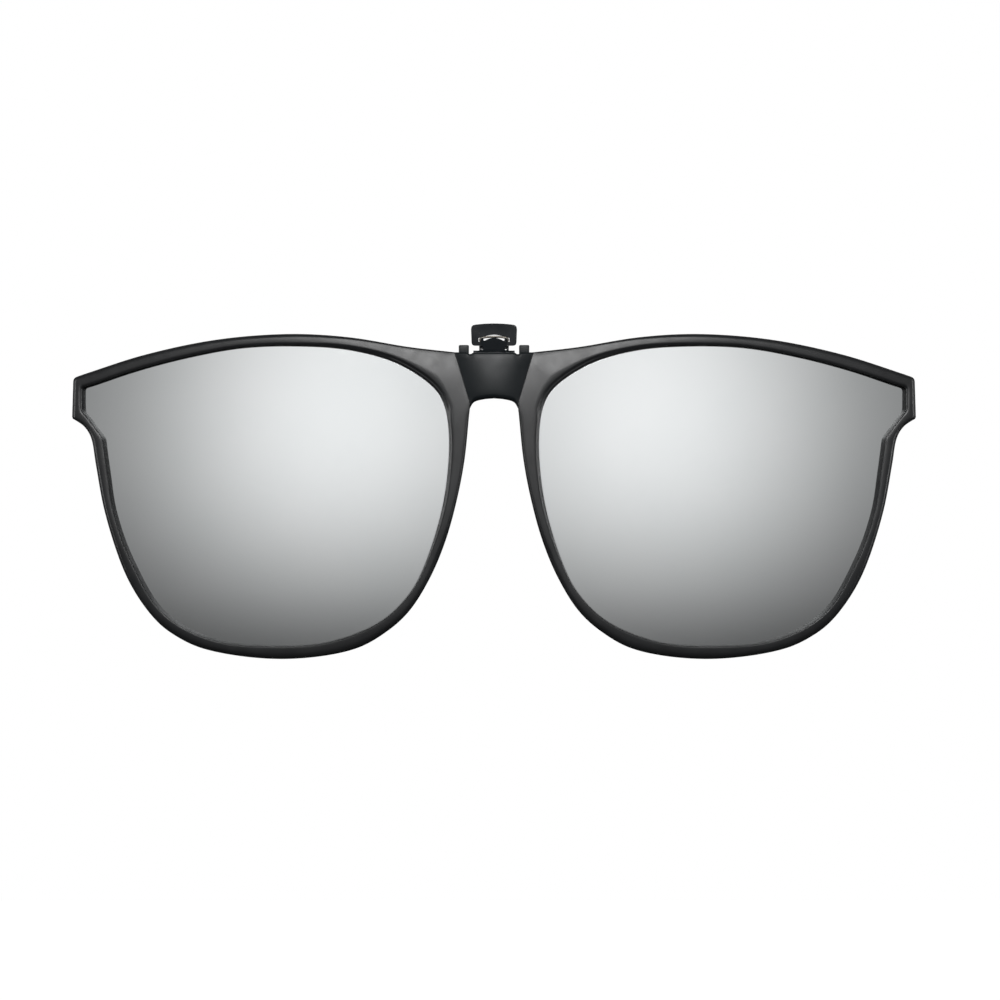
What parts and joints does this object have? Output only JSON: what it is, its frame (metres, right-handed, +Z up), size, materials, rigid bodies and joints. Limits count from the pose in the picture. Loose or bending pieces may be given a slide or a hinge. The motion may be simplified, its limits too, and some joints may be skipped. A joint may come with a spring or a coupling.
{
  "type": "clip-on sunglasses",
  "caption": "Flip-up clip-on sunglasses: full-rim black front with mirrored lenses, hung by a hinge from a spring clip with a finger tab.",
  "frame": {"origin": "centre of the grip, midway between the four pads of the closed clip", "axes": "+X along the brow, +Y towards the wearer, +Z up; the lenses face -Y and the spectacles leave the clip along -Z"},
  "size_m": [0.145, 0.0144, 0.0576],
  "materials": {
    "front_plastic": "satin black moulded nylon",
    "mirror_lens": "silver mirror coat on a grey plastic lens",
    "clip_plastic": "semi-gloss black",
    "bush_plastic": "matte black",
    "pin_steel": "bright steel",
    "spring_steel": "drawn spring wire",
    "pad_rubber": "soft matte silicone"
  },
  "bodies": {
    "clip": {"front_jaw": "clip_plastic", "clamp_pin": "pin_steel", "clamp_spring": "spring_steel", "front_pad_left": "pad_rubber", "front_pad_right": "pad_rubber"},
    "front": {"frame_front": "front_plastic", "lens_left": "mirror_lens", "lens_right": "mirror_lens", "flip_hinge_pin": "pin_steel", "hinge_bush_left": "bush_plastic", "hinge_bush_right": "bush_plastic"},
    "rear_lever": {"rear_jaw": "clip_plastic", "rear_pad_left": "pad_rubber", "rear_pad_right": "pad_rubber"}
  },
  "joints": [
    {"name": "flip", "type": "hinge", "parent": "clip", "child": "front", "pos_m": [0, -0.0042, 0.009], "axis": [-1, 0, 0], "range_deg": [0, 100]},
    {"name": "clamp", "type": "hinge", "parent": "clip", "child": "rear_lever", "pos_m": [0, 0.00055, 0.01048], "axis": [1, 0, 0], "range_deg": [0, 28], "stiffness_Nm_per_rad": 0.03, "springref_deg": -17.19, "deforming": ["clamp_spring"]}
  ]
}
